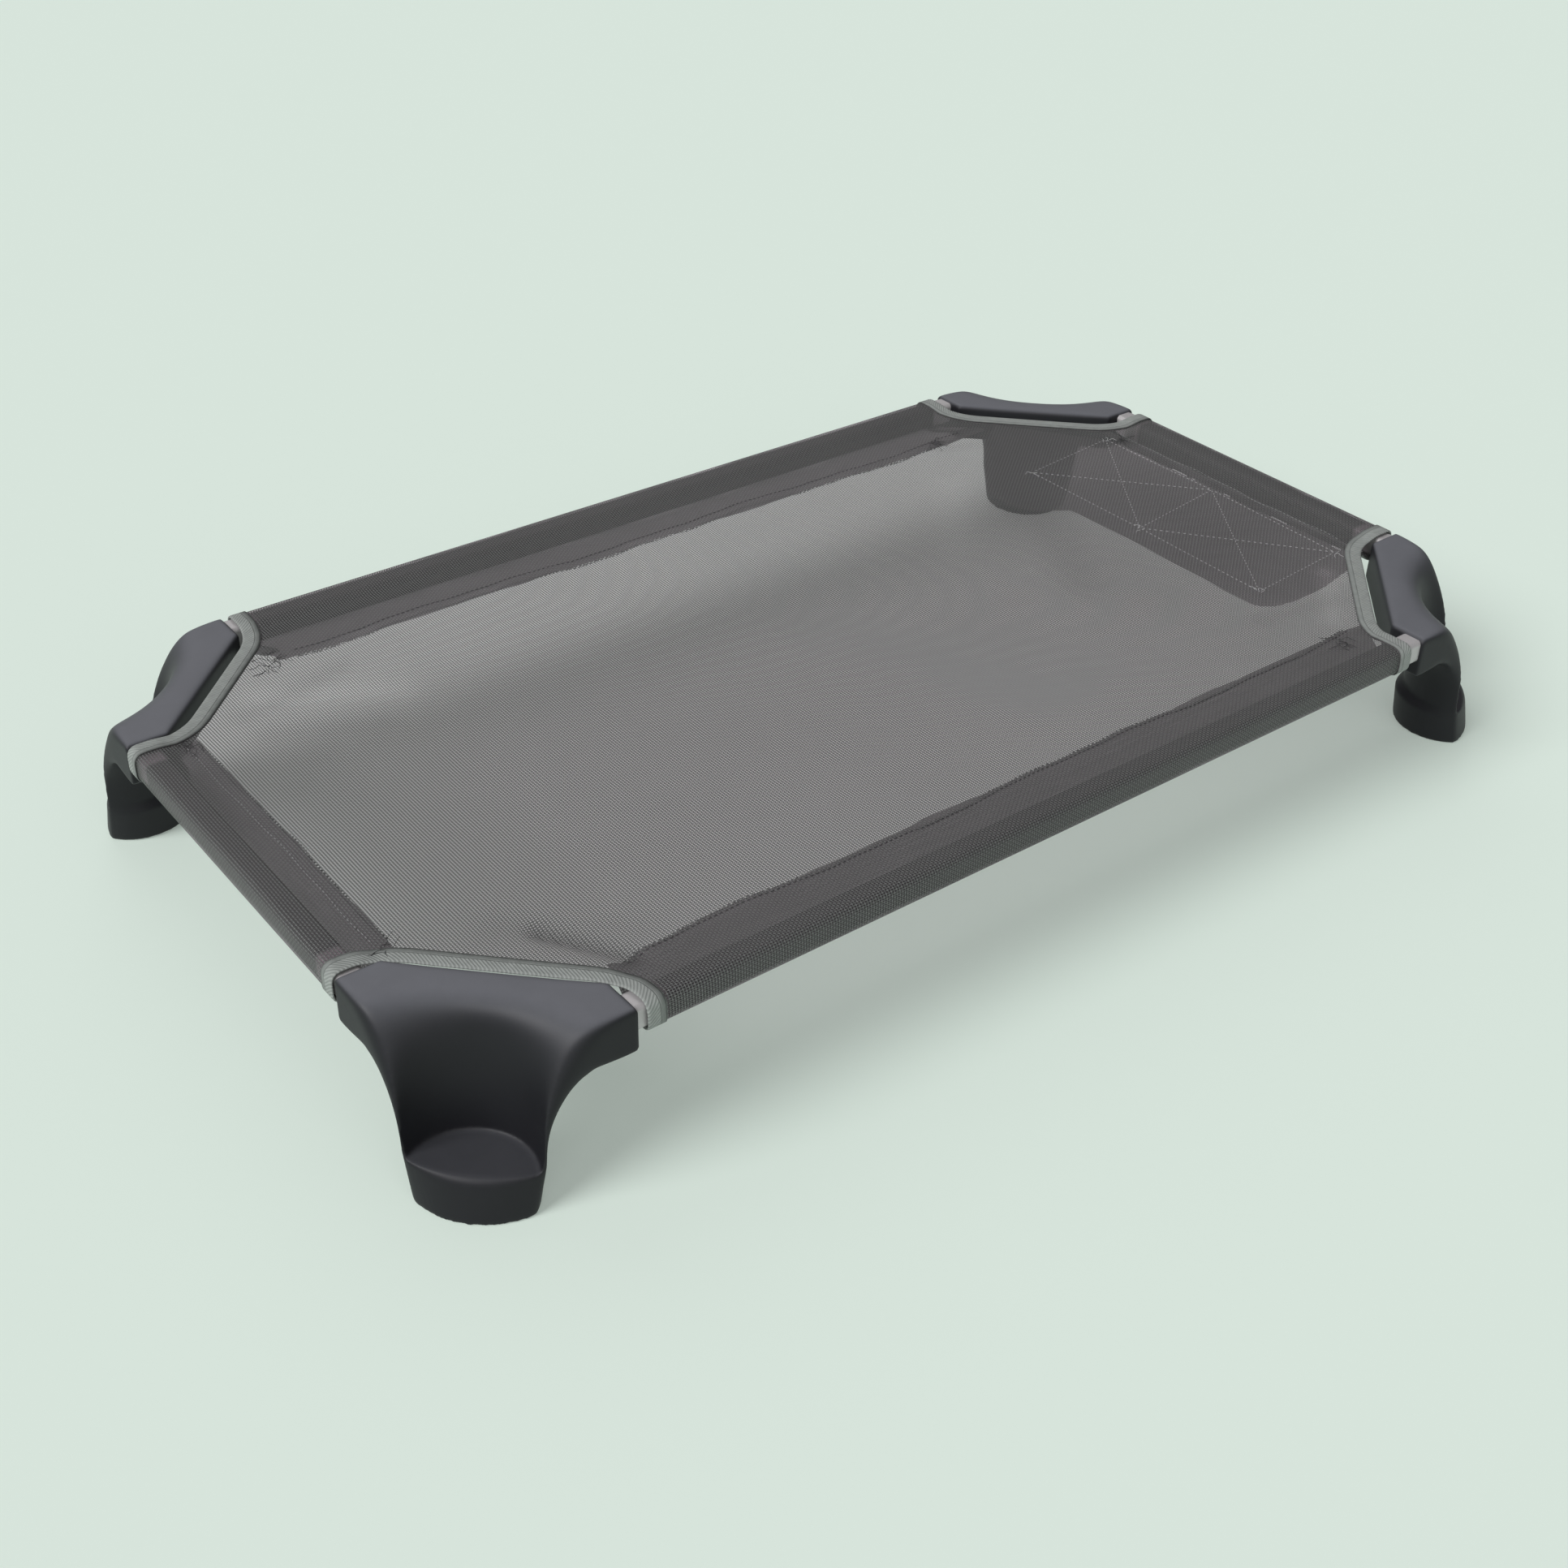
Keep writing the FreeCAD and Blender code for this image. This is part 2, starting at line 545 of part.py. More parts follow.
LENGTH = "Sizes.bed_length"
WIDTH = "Sizes.bed_width"
RIGHT = HALF_LENGTH
LEFT = f"-{HALF_LENGTH}"
BACK = HALF_WIDTH
FRONT = f"-{HALF_WIDTH}"
CORNERS = (
    ("front_left", LEFT, FRONT, 0),
    ("front_right", RIGHT, FRONT, 90),
    ("back_right", RIGHT, BACK, 180),
    ("back_left", LEFT, BACK, 270),
)
SIDES = (
    ("front", LENGTH, "Sizes.front_hem", "0", FRONT, 0),
    ("right", WIDTH, "Sizes.end_hem", RIGHT, "0", 90),
    ("back", LENGTH, "Sizes.back_hem", "0", BACK, 180),
    ("left", WIDTH, "Sizes.end_hem", LEFT, "0", 270),
)

for corner, at_x, at_y, angle in CORNERS:
    corner_leg(f"leg_{corner}", at_x, at_y, angle)
    corner_binding(f"binding_{corner}", at_x, at_y, angle)
for side, across, hem_width, at_x, at_y, angle in SIDES:
    rail(f"rail_{side}", across, at_x, at_y, angle)
    sleeve(f"sleeve_{side}", across, hem_width, at_x, at_y, angle)
    hem_seam(f"hem_seam_{side}", across, hem_width, at_x, at_y, angle)
mesh_deck()
reinforcing_panel()
panel_seam()
doc.recompute()

for item in doc.Objects:
    if "Invalid" in item.State or "Error" in item.State:
        raise RuntimeError(f"{item.Name} failed: {item.State}")
for piece in nodes:
    if piece.Shape.isNull() or not piece.Shape.isValid():
        raise RuntimeError(f"{piece.Label} has no valid shape")
    if len(piece.Shape.Solids) != 1:
        raise RuntimeError(f"{piece.Label} has {len(piece.Shape.Solids)} solids")

os.makedirs("parts", exist_ok=True)
for piece in nodes:
    piece.Shape.exportStep(f"parts/{piece.Label}.step")
    box = piece.Shape.BoundBox
    print(f"{piece.Label:22s} {piece.Shape.Volume / 1000:9.2f} cm3  x {box.XMin:8.1f} {box.XMax:8.1f}"
          f"  y {box.YMin:8.1f} {box.YMax:8.1f}  z {box.ZMin:7.2f} {box.ZMax:7.2f}")
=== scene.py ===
import math
import random
from bisect import bisect_right

import bmesh
import bpy
from mathutils import Matrix, Vector


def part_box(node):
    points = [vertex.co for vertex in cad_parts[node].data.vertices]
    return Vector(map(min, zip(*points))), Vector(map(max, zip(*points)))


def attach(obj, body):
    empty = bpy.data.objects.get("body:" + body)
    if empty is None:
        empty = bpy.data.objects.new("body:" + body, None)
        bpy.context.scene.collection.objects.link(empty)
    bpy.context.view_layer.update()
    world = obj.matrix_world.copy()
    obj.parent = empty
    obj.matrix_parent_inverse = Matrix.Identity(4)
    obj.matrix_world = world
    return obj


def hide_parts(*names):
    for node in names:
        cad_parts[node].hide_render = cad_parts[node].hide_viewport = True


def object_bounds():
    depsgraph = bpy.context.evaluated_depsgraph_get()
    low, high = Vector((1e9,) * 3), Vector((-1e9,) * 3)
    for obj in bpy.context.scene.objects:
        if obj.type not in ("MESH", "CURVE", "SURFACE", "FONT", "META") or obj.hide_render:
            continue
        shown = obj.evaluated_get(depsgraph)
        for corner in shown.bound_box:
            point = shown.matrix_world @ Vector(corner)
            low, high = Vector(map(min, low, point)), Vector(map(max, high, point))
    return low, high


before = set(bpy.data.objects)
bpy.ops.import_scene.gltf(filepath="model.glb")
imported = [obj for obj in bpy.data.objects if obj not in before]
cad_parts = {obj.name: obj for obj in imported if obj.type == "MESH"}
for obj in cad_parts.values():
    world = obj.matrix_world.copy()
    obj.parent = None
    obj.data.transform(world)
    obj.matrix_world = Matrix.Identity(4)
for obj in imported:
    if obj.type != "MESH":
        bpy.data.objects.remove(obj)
CAD_BOX = [list(corner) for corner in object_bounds()]
random.seed(7)

MM = 0.001

# The bed's outer planes, the legs' tops, and the height of the deck where it meets the rails.
HALF_LENGTH, HALF_WIDTH, LEG_HEIGHT = CAD_BOX[1]
RAIL_LOW, RAIL_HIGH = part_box("rail_front")
TUBE_SIDE = RAIL_HIGH.z - RAIL_LOW.z
RAIL_INSET = HALF_WIDTH + RAIL_LOW.y
DECK_Z = RAIL_HIGH.z - 0.3 * MM

# How far the hem and the second panel lie under the deck, and the sleeves stand off the rails.
LAYER_GAP = 1.1 * MM
PANEL_GAP = 2.0 * MM
SLEEVE_SLACK = 2.0 * MM

# Width of each hem from the outer plane to its raw edge, the flap beyond its seam, the flat cloth
# kept past the raw edge while its wander is cut, where the cloth starts to rise to a rail, and the
# number of parts in a raw edge.
HEMS = {"front": 50 * MM, "right": 57 * MM, "back": 81 * MM, "left": 46 * MM}
HEM_FLAPS = {"front": 4 * MM, "right": 8 * MM, "back": 7 * MM, "left": 10 * MM}
HEM_SPARE = 20 * MM
DECK_START = 32 * MM
EDGE_PARTS = 30

# Each corner: its leg, the signs of its x and y, where the sleeve along x ends, where the sleeve
# along y ends, and the sum of both insets along the slanting cut between them.
CORNERS = [
    ("front_left", -1, -1, 141 * MM, 137 * MM, 168.4 * MM),
    ("front_right", 1, -1, 150 * MM, 139 * MM, 184 * MM),
    ("back_right", 1, 1, 147 * MM, 147 * MM, 189 * MM),
    ("back_left", -1, 1, 140 * MM, 137 * MM, 178 * MM),
]


# ---------------------------------------------------------------- lines and small makers

def rounded_line(corners, runs, parts=8):
    """A bent line with each of its corners rounded over its own run before and after it."""
    points = [corners[0]]
    for before, corner, after, run in zip(corners, corners[1:], corners[2:], runs):
        start = corner + (before - corner).normalized() * run
        end = corner + (after - corner).normalized() * run
        for i in range(parts + 1):
            t = i / parts
            points.append(start.lerp(corner, t).lerp(corner.lerp(end, t), t))
    points.append(corners[-1])
    return points


def pairs(points):
    """Each point with the one after it."""
    return zip(points, points[1:])


class Track:
    """A line of points that is walked by distance."""

    def __init__(self, points):
        self.points = points
        self.marks = [0.0]
        for here, following in pairs(points):
            self.marks.append(self.marks[-1] + (following - here).length)
        self.length = self.marks[-1]

    def at(self, distance):
        i = min(max(bisect_right(self.marks, distance) - 1, 0), len(self.points) - 2)
        share = (distance - self.marks[i]) / (self.marks[i + 1] - self.marks[i])
        return self.points[i].lerp(self.points[i + 1], share)

    def heading(self, distance):
        reach = 0.5 * MM
        return (self.at(distance + reach) - self.at(distance - reach)).normalized()


def wave(x, *parts):
    """A slow wander: the sum of sines given as (height, length, start)."""
    turns = ((height, x / length + start) for height, length, start in parts)
    return sum(height * math.sin(2 * math.pi * turn) for height, turn in turns)


def finish_piece(name, bm, material, replaces=()):
    """Turns a bmesh into a piece of the bed that rides on its one body."""
    mesh = bpy.data.meshes.new(name)
    for face in bm.faces:
        face.smooth = True
    bm.to_mesh(mesh)
    bm.free()
    piece = bpy.data.objects.new(name, mesh)
    bpy.context.scene.collection.objects.link(piece)
    mesh.materials.append(material)
    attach(piece, "root")
    if replaces:
        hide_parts(*replaces)
    return piece


def settle(piece):
    """Replaces a piece's mesh with what its modifiers make of it."""
    depsgraph = bpy.context.evaluated_depsgraph_get()
    shaped = bpy.data.meshes.new_from_object(piece.evaluated_get(depsgraph))
    old = piece.data
    piece.modifiers.clear()
    piece.data = shaped
    shaped.name = old.name + "_shaped"
    bpy.data.meshes.remove(old)


# ---------------------------------------------------------------- finishes

class Value:
    """A number on a shader socket; sums on it add the Math nodes."""

    def __init__(self, finish, socket):
        self.finish = finish
        self.socket = socket

    def _math(self, operation, *values):
        return self.finish.node("ShaderNodeMath", {"operation": operation}, *values)

    def __add__(self, other):
        return self._math("ADD", self, other)

    def __sub__(self, other):
        return self._math("SUBTRACT", self, other)

    def __mul__(self, other):
        return self._math("MULTIPLY", self, other)

    def __truediv__(self, other):
        return self._math("DIVIDE", self, other)

    def __rsub__(self, other):
        return self._math("SUBTRACT", other, self)

    __radd__ = __add__
    __rmul__ = __mul__

    def apart(self):
        return self._math("ABSOLUTE", self)

    def part(self):
        return self._math("FRACT", self)

    def whole(self):
        return self._math("FLOOR", self)

    def sine(self):
        return self._math("SINE", self)

    def root(self):
        return self._math("SQRT", self)

    def most(self, other):
        return self._math("MAXIMUM", self, other)

    def least(self, other):
        return self._math("MINIMUM", self, other)

    def clamp(self):
        return self.most(0.0).least(1.0)


class Finish:
    """One surface finish: a material with its Principled shader."""

    def __init__(self, name, **sockets):
        self.material = bpy.data.materials.new(name)
        self.material.use_nodes = True
        self.tree = self.material.node_tree
        self.shader = self.tree.nodes["Principled BSDF"]
        self.set(**sockets)

    def link(self, socket, value):
        if isinstance(value, Value):
            self.tree.links.new(value.socket, socket)
        else:
            socket.default_value = value

    def set(self, **sockets):
        for name, value in sockets.items():
            self.link(self.shader.inputs[name.replace("_", " ")], value)

    def node(self, kind, settings, *values, out=0, **sockets):
        """Makes a node of any kind, fed in order and by name, and gives one of its outputs."""
        made = self.tree.nodes.new(kind)
        for name, value in settings.items():
            setattr(made, name, value)
        for socket, value in zip(made.inputs, values):
            if value is not None:
                self.link(socket, value)
        for name, value in sockets.items():
            self.link(made.inputs[name.replace("_", " ")], value)
        return Value(self, made.outputs[out])

    def place(self):
        return self.node("ShaderNodeTexCoord", {}, out="Object")

    def cut(self):
        """The two flat coordinates of the cloth, in metres."""
        flat = self.node("ShaderNodeUVMap", {"uv_map": "cut"})
        return [self.node("ShaderNodeSeparateXYZ", {}, flat, out=axis) for axis in ("X", "Y")]

    def noise(self, scale, detail=3.0, roughness=0.55, vector=None):
        return self.node("ShaderNodeTexNoise", {}, Vector=vector or self.place(), Scale=scale,
                         Detail=detail, Roughness=roughness)

    def blend(self, share, first, second):
        """A colour between two others; the Mix node keeps its colour sockets after its others."""
        others = [None] * 5
        return self.node("ShaderNodeMix", {"data_type": "RGBA"}, share, *others, first, second, out=2)

    def bump(self, height, distance, strength=1.0):
        return self.node("ShaderNodeBump", {}, Strength=strength, Distance=distance, Height=height)

    def veil(self, cover, tint):
        """Leaves the finish out where it has no cover, and tints what shows past it."""
        clear = self.node("ShaderNodeBsdfTransparent", {}, Color=tint)
        whole = Value(self, self.shader.outputs["BSDF"])
        mixed = self.node("ShaderNodeMixShader", {}, cover, clear, whole)
        self.link(self.tree.nodes["Material Output"].inputs["Surface"], mixed)


# The weave: the yarns' spacing each way, a yarn's share of it, how far the yarns wander in spacings,
# how soft a yarn's edge is, how much it rises and dips, what even a hole holds back, the cover of a
# sleeve's under side, the yarns' colours and the tint of what shows between them.
YARN_GAP_X = 2.19 * MM
YARN_GAP_Y = 1.73 * MM
YARN_SHARE = 0.395
YARN_WANDER = 1.3
YARN_BLUR = 0.28
YARN_SWING = 0.38
HOLE_COVER = 0.07
UNDER_COVER = 0.90
UNDER_BLEND = 4 * MM
YARN_COLOURS = ((0.0400, 0.0414, 0.0403, 1), (0.208, 0.2150, 0.209, 1))
HOLE_TINT = (1.0, 0.892, 0.962, 1)


def make_mesh_cloth():
    """Coated yarns in a plain open weave that lets the floor show through."""
    cloth = Finish("mesh_cloth", Metallic=0.0, Specular_IOR_Level=0.5)
    flat = cloth.node("ShaderNodeUVMap", {"uv_map": "cut"})
    flat_x, flat_y = cloth.cut()
    across = flat_x / YARN_GAP_X + (cloth.noise(11.0, 1.0, vector=flat) - 0.5) * YARN_WANDER
    along = flat_y / YARN_GAP_Y + (cloth.noise(9.0, 1.0, vector=flat) - 0.5) * YARN_WANDER

    def yarn(place, other):
        """Cover and height of the yarns that lie at each whole step of place."""
        off = ((place.part() - 0.5) * 2.0).apart() / YARN_SHARE
        cover = ((1.0 + YARN_BLUR - off) / (2.0 * YARN_BLUR)).clamp()
        side = (place.whole() / 2.0).part() * 4.0 - 1.0
        swing = (other * math.pi).sine() * side
        crown = (1.0 - (off * off).least(1.0)).root()
        return cover, crown * (swing * YARN_SWING + (1.0 - YARN_SWING))

    cover_y, height_y = yarn(across, along)
    cover_x, height_x = yarn(along, across)
    height = height_y.most(height_x * 0.96)
    cover = cover_y.most(cover_x) * (1.0 - HOLE_COVER) + HOLE_COVER
    under = ((flat_x.apart() - HALF_LENGTH - TUBE_SIDE) / UNDER_BLEND).clamp()
    under = under.most(((flat_y.apart() - HALF_WIDTH - TUBE_SIDE) / UNDER_BLEND).clamp()) * 0.8
    cover = cover + (UNDER_COVER - cover) * under
    # Painted shade in the creases: their cloth is coloured darker and made less see-through, and
    # painted lighter where the value is below zero.
    fold = cloth.node("ShaderNodeAttribute", {"attribute_name": "fold"}, out="Fac")
    cover = (cover + fold * 0.30).clamp()
    haze = cloth.noise(5.0, 3.0)
    fleck = cloth.noise(900.0, 2.0)
    # Painted shade: the yarns' crowns are coloured lighter and the dips between them darker; haze and
    # fleck are the yarns' own uneven tone.
    shade = height * 0.62 + fleck * 0.22 + haze * 0.24 - fold * 0.35
    colour = cloth.blend(shade.clamp(), *YARN_COLOURS)
    cloth.set(Base_Color=colour, Roughness=0.46 + fleck * 0.14 - height * 0.10,
              Normal=cloth.bump(height, 0.45 * MM, 0.9))
    cloth.veil(cover, HOLE_TINT)
    return cloth.material


# Painted light and shade: a leg's upward faces take a lighter colour, strongest at its top and
# thinning out down to its ledge; its other faces take a darker, shaded colour.
LEDGE_LEVEL = 35 * MM
PLASTIC_SHADED = ((0.0072, 0.0073, 0.0092, 1), (0.0148, 0.0150, 0.0188, 1))
PLASTIC_PAINTED_LIGHT = ((0.1040, 0.1080, 0.1210, 1), (0.1760, 0.1830, 0.2020, 1))


def make_leg_plastic():
    """Satin charcoal moulding with a fine grain and faint flow marks, painted lighter on its upward
    faces and darker on the rest.
    """
    plastic = Finish("leg_plastic_satin", Metallic=0.0, Specular_IOR_Level=0.28)
    grain = plastic.noise(2600.0, 2.0, 0.6)
    cloud = plastic.noise(16.0, 4.0, 0.6)
    scuff = plastic.noise(120.0, 5.0, 0.7)
    shade = (grain * 0.30 + cloud * 0.45 + scuff * 0.25).clamp()
    normal = plastic.node("ShaderNodeNewGeometry", {}, out="Normal")
    upward = plastic.node("ShaderNodeSeparateXYZ", {}, normal, out="Z").clamp()
    level = plastic.node("ShaderNodeSeparateXYZ", {}, plastic.place(), out="Z")
    top = ((level - LEDGE_LEVEL) / (LEG_HEIGHT - LEDGE_LEVEL)).clamp() * 0.7 + 0.3
    shaded = plastic.blend(shade, *PLASTIC_SHADED)
    painted_light = plastic.blend(shade, *PLASTIC_PAINTED_LIGHT)
    # Painted light: the upward faces near the top get the lighter colour, the rest the darker painted
    # shade.
    colour = plastic.blend(upward * upward * upward * top, shaded, painted_light)
    plastic.set(Base_Color=colour, Roughness=0.44 + scuff * 0.07 + cloud * 0.05,
                Normal=plastic.bump(grain, 0.05 * MM, 0.35))
    return plastic.material


# The rails are bare beyond these distances from the middle, and in the sleeves' shade within them.
BARE_FROM_X = 350 * MM
BARE_FROM_Y = 128 * MM
BARE_BLEND = 4 * MM
RAIL_COLOURS = ((0.40, 0.39, 0.395, 1), (0.64, 0.62, 0.62, 1))
SLEEVE_SHADE = (0.070, 0.069, 0.070, 1)


def make_rail_metal():
    """Light grey coated steel, rubbed a little along the tube."""
    metal = Finish("rail_metal_coated", Metallic=0.35)
    place = metal.place()
    speckle = metal.noise(1500.0, 2.0)
    streak = metal.noise(60.0, 4.0, 0.6)
    colour = metal.blend((speckle * 0.4 + streak * 0.6).clamp(), *RAIL_COLOURS)
    x, y = [metal.node("ShaderNodeSeparateXYZ", {}, place, out=axis) for axis in ("X", "Y")]
    bare = (x.apart() - BARE_FROM_X) / BARE_BLEND
    bare = bare.clamp() * ((y.apart() - BARE_FROM_Y) / BARE_BLEND).clamp()
    colour = metal.blend(bare, SLEEVE_SHADE, colour)
    metal.set(Base_Color=colour, Roughness=0.34 + streak * 0.16,
              Normal=metal.bump(metal.noise(700.0, 3.0, 0.5, place), 0.06 * MM, 0.3))
    return metal.material


# The tape: its ribs' spacing, its plain rim, its width on one side of the fold, its yarns and their
# colours.
TAPE_RIB = 2.7 * MM
TAPE_RIM = 4.0 * MM
TAPE_WIDE = 12.5 * MM
TAPE_YARN_ALONG = 0.55 * MM
TAPE_YARN_ACROSS = 0.5 * MM
TAPE_COLOURS = ((0.085, 0.094, 0.089, 1), (0.440, 0.470, 0.448, 1))


def make_binding_tape():
    """Grey-green twill tape: a plain rim on the cloth's side and slanting ribs beyond it."""
    tape = Finish("binding_tape_twill", Metallic=0.0, Specular_IOR_Level=0.3)
    along, across = tape.cut()
    across = across.apart()
    slant = (along + across * 0.9) / TAPE_RIB
    rib = (slant * (2 * math.pi)).sine() * 0.5 + 0.5
    yarn = ((along / TAPE_YARN_ALONG) * math.pi).sine().apart()
    yarn = yarn * 0.5 + ((across / TAPE_YARN_ACROSS) * math.pi).sine().apart() * 0.5
    ribbed = ((TAPE_WIDE - TAPE_RIM - across) / (0.6 * MM)).clamp()
    edge = ((across - (TAPE_WIDE - 0.7 * MM)) / (0.4 * MM)).clamp()
    step = 1.0 - ((across - (TAPE_WIDE - TAPE_RIM)).apart() / (0.45 * MM)).clamp()
    height = rib * ribbed * 0.7 + yarn * 0.3 - edge * 0.5 - step * 0.6
    tint = tape.noise(160.0, 3.0)
    # Partly painted shade: the colour follows the height, so the rib grooves, the rim's step and the
    # inner edge are coloured darker; the tint noise is the tape's own uneven tone.
    shade = (height * 0.45 + tint * 0.35 + 0.2).clamp()
    colour = tape.blend(shade, *TAPE_COLOURS)
    tape.set(Base_Color=colour, Roughness=0.72 + tint * 0.15,
             Normal=tape.bump(height, 0.5 * MM, 0.8))
    return tape.material


def make_thread(name, dark, light):
    """Twisted sewing thread."""
    thread = Finish(name, Metallic=0.0, Specular_IOR_Level=0.35)
    twist = thread.noise(2400.0, 2.0)
    thread.set(Base_Color=thread.blend(twist, dark, light), Roughness=0.55 + twist * 0.2,
               Normal=thread.bump(twist, 0.1 * MM, 0.5))
    return thread.material


# The floor gives off a little light, so that its colour stays even.
FLOOR_GLOW = 0.364
FLOOR_COLOURS = ((0.5740, 0.6600, 0.5990, 1), (0.5760, 0.6620, 0.6010, 1))


def make_floor_paint():
    """Plain pale green floor."""
    floor = Finish("floor_paint", Metallic=0.0, Specular_IOR_Level=0.0, Roughness=0.9,
                   Emission_Strength=FLOOR_GLOW)
    tint = floor.noise(3.0, 2.0)
    colour = floor.blend(tint, *FLOOR_COLOURS)
    floor.set(Base_Color=colour, Emission_Color=colour)
    return floor.material


MESH_CLOTH = make_mesh_cloth()
LEG_PLASTIC = make_leg_plastic()
RAIL_METAL = make_rail_metal()
BINDING_TAPE = make_binding_tape()
SEAM_THREAD = make_thread("seam_thread", (0.016, 0.017, 0.018, 1), (0.060, 0.061, 0.062, 1))
HEM_THREAD = make_thread("hem_thread", (0.170, 0.174, 0.176, 1), (0.400, 0.405, 0.405, 1))
PALE_THREAD = make_thread("pale_thread", (0.34, 0.345, 0.345, 1), (0.66, 0.665, 0.66, 1))

for name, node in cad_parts.items():
    if name.startswith("rail_"):
        node.data.materials[0] = RAIL_METAL


# ---------------------------------------------------------------- moulded legs

# The skin's cell size, and how often and how strongly it is eased.
SKIN_CELL = 1.45 * MM
EASE_STEPS = 800
EASE_PULL = 0.5

# How strongly each part of a leg is eased: the ledge's lip, the sole's rim and all the rest; the
# scoop's brow is eased in full.
LIP_EASE = 0.13
SOLE_EASE = 0.020
REST_EASE = 0.004

# Where the brow and the lip lie.
BROW_INSET = 50 * MM
LIP_LEVEL = 32 * MM
LIP_INSET = 16 * MM


def bell(offset, width, power=2):
    """1 at no offset, falling away to 0 beyond the width."""
    return math.exp(-((offset / width) ** power))


def softness(inset_x, inset_y, z):
    """How strongly the moulding is eased at a place."""
    middle = (inset_x + inset_y) / 2
    aside = abs(inset_x - inset_y) / 2
    reach = 18 * MM if middle > BROW_INSET else 34 * MM
    brow = bell(z - LEG_HEIGHT, 34 * MM) * bell(middle - BROW_INSET, reach) * bell(aside, 44 * MM, 4)
    lip = bell(z - LIP_LEVEL, 7 * MM) * bell(middle - LIP_INSET, 8 * MM, 4)
    sole = bell(z, 4 * MM)
    return min(1.0, max(brow, LIP_EASE * lip, SOLE_EASE * sole, REST_EASE))


def make_leg(name, node):
    """A leg with the soft edges of a moulding, on the shape of its CAD solid."""
    bm = bmesh.new()
    bm.from_mesh(node.data)
    bmesh.ops.remove_doubles(bm, verts=bm.verts, dist=0.01 * MM)
    leg = finish_piece("moulded_" + name, bm, LEG_PLASTIC, (name,))
    skin = leg.modifiers.new("skin", "REMESH")
    skin.mode = "VOXEL"
    skin.voxel_size = SKIN_CELL
    settle(leg)
    group = leg.vertex_groups.new(name="soft")
    for vert in leg.data.vertices:
        x, y, z = vert.co
        group.add([vert.index], softness(HALF_LENGTH - abs(x), HALF_WIDTH - abs(y), z), "REPLACE")
    ease = leg.modifiers.new("ease", "SMOOTH")
    ease.vertex_group = "soft"
    ease.factor = EASE_PULL
    ease.iterations = EASE_STEPS
    settle(leg)
    for face in leg.data.polygons:
        face.use_smooth = True


for name, node in list(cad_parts.items()):
    if name.startswith("leg_"):
        make_leg(name, node)


# ---------------------------------------------------------------- how the cloth lies

# Soft creases in the deck: start, end, depth, width, and the painted shade their cloth gets, with
# painted light where it is below zero.
CREASES = [
    ((-0.380, -0.188), (-0.347, -0.245), 5.5 * MM, 8 * MM, 0.85),
    ((-0.400, -0.170), (-0.330, -0.225), 1.4 * MM, 14 * MM, 0.15),
    ((-0.420, 0.150), (-0.330, 0.175), 0.9 * MM, 10 * MM, 0.20),
    ((-0.400, 0.170), (-0.310, 0.120), 0.8 * MM, 14 * MM, -0.20),
    ((-0.415, 0.120), (-0.340, 0.085), 0.8 * MM, 12 * MM, 0.18),
    ((0.345, 0.185), (0.300, 0.205), 1.2 * MM, 8 * MM, 0.20),
    ((0.400, -0.170), (0.345, -0.225), 1.0 * MM, 10 * MM, -0.25),
    ((0.372, -0.200), (0.300, -0.190), 1.0 * MM, 11 * MM, 0.22),
    ((0.290, 0.060), (0.230, -0.060), 1.0 * MM, 22 * MM, 0.18),
    ((0.260, 0.140), (0.190, 0.060), 0.9 * MM, 20 * MM, -0.12),
    ((0.450, 0.100), (0.453, -0.130), 0.8 * MM, 5 * MM, 0.10),
]

# The deck's sag in its middle, how far in from the outer planes it starts, and the share of its
# reach over which creases fade out.
SAG = 4.5 * MM
SAG_INSET = 22 * MM
CREASE_MARGIN = 0.12


def creases_at(x, y):
    """How near a place is to each crease, from 0 to 1, with that crease's depth and painted shade."""
    spot = Vector((x, y))
    found = []
    for start, end, depth, width, shade in CREASES:
        start, end = Vector(start), Vector(end)
        run = end - start
        share = min(max((spot - start).dot(run) / run.length_squared, 0), 1)
        off = (spot - start - run * share).length
        found.append((bell(off, width), depth, shade))
    return found


def sag(x, y):
    """How far the stretched deck hangs down, creases and all."""
    reach_x = 1 - (x / (HALF_LENGTH - SAG_INSET)) ** 2
    reach_y = 1 - (y / (HALF_WIDTH - SAG_INSET)) ** 2
    if reach_x <= 0 or reach_y <= 0:
        return 0.0
    inside = min(reach_x, reach_y, CREASE_MARGIN) / CREASE_MARGIN
    creased = sum(depth * near for near, depth, _ in creases_at(x, y))
    return SAG * reach_x * reach_y + inside * creased


def sleeve_track(side, hem):
    """The cloth's way from the deck over the rail, down, under it and up again to the hem."""
    outer = RAIL_INSET - SLEEVE_SLACK
    low = RAIL_LOW.z - SLEEVE_SLACK
    high = RAIL_HIGH.z + SLEEVE_SLACK
    under = DECK_Z - LAYER_GAP
    corners = [
        Vector((DECK_START, DECK_Z)),
        Vector((RAIL_INSET + TUBE_SIDE - 2 * MM, high)),
        Vector((outer, high)),
        Vector((outer, low)),
        Vector((RAIL_INSET + TUBE_SIDE + 2 * MM, low)),
        Vector((hem - HEM_FLAPS[side], under)),
        Vector((hem + HEM_SPARE, under)),
    ]
    runs = [4.5 * MM, 7.4 * MM, 7.4 * MM, 6 * MM, 3 * MM]
    return Track(rounded_line(corners, runs))


TRACKS = {side: sleeve_track(side, hem) for side, hem in HEMS.items()}


def wrap(flat, half, low_side, high_side):
    """Where a flat coordinate ends up once the cloth is round the rails: place and rise."""
    track = TRACKS[low_side if flat < 0 else high_side]
    beyond = abs(flat) - (half - DECK_START)
    if beyond <= 0:
        return flat, 0.0
    inset, z = track.at(beyond)
    return math.copysign(half - inset, flat), z - DECK_Z


